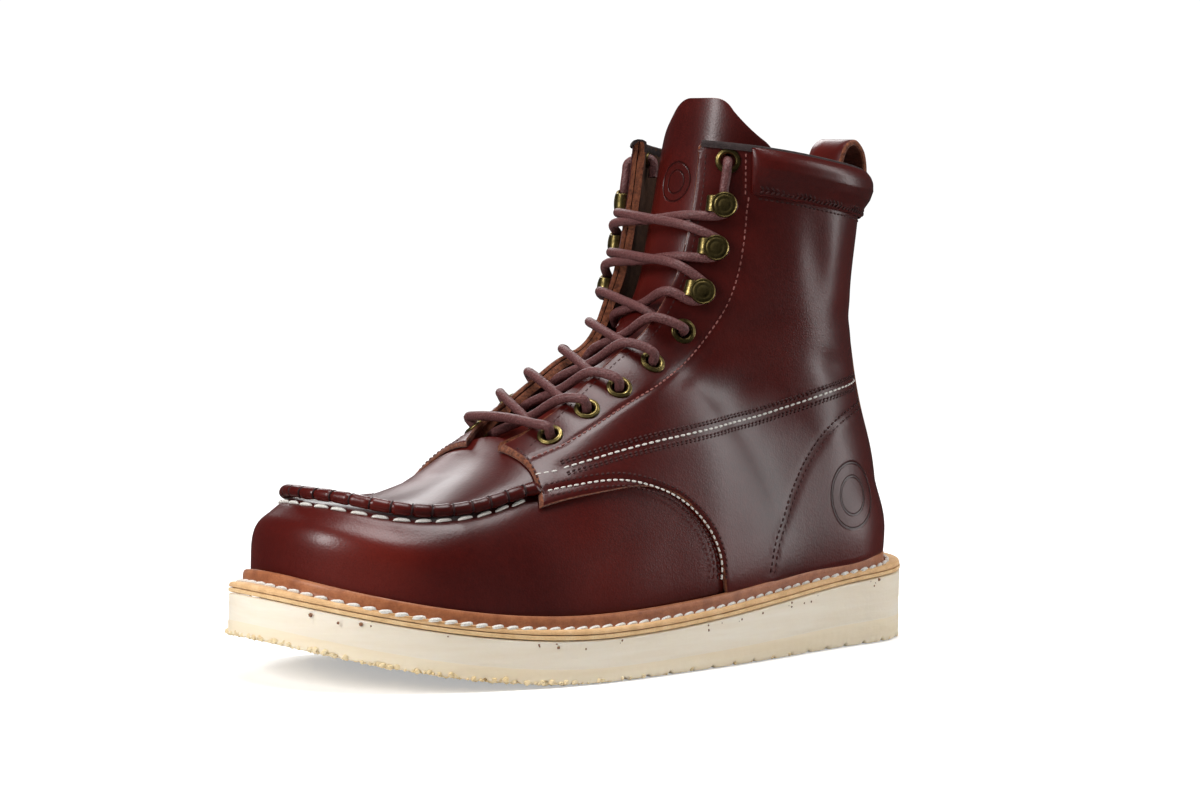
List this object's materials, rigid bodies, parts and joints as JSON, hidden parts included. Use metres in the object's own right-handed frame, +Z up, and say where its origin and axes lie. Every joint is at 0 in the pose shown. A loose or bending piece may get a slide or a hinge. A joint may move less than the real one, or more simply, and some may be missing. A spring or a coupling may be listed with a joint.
{
  "type": "work boot",
  "caption": "Lace-up ankle-high leather work boot with a moccasin toe, padded collar, pull loop and a flat wedge sole, worn on the left foot.",
  "frame": {"origin": "middle of the boot's bounding box on the floor plane", "axes": "+X toward the toe, +Y toward the outer side of the left foot, +Z up"},
  "size_m": [0.305, 0.117, 0.2204],
  "materials": {
    "leather": "waxed, semi-gloss",
    "welt": "smooth",
    "midsole": "raw edge",
    "outsole": "matt crepe",
    "lining": "matt",
    "hardware": "antique",
    "lace": "waxed round cord"
  },
  "bodies": {
    "root": {"upper": "leather", "quarter_lateral": "leather", "quarter_medial": "leather", "collar": "leather", "backstay": "leather", "pull_loop": "leather", "tongue": "leather", "moc_seam": "leather", "outsole": "outsole", "midsole": "midsole", "welt": "welt", "insole": "lining", "eyelet_lateral_1": "hardware", "eyelet_lateral_2": "hardware", "eyelet_lateral_3": "hardware", "eyelet_lateral_4": "hardware", "eyelet_lateral_5": "hardware", "eyelet_lateral_9": "hardware", "hook_lateral_6": "hardware", "hook_lateral_7": "hardware", "hook_lateral_8": "hardware", "eyelet_medial_1": "hardware", "eyelet_medial_2": "hardware", "eyelet_medial_3": "hardware", "eyelet_medial_4": "hardware", "eyelet_medial_5": "hardware", "eyelet_medial_9": "hardware", "hook_medial_6": "hardware", "hook_medial_7": "hardware", "hook_medial_8": "hardware", "lace_bar": "lace", "lace_cross_1": "lace", "lace_cross_2": "lace", "lace_cross_3": "lace", "lace_cross_4": "lace", "lace_cross_5": "lace", "lace_cross_6": "lace", "lace_cross_7": "lace", "lace_end_lateral": "lace", "lace_end_medial": "lace"}
  },
  "joints": []
}
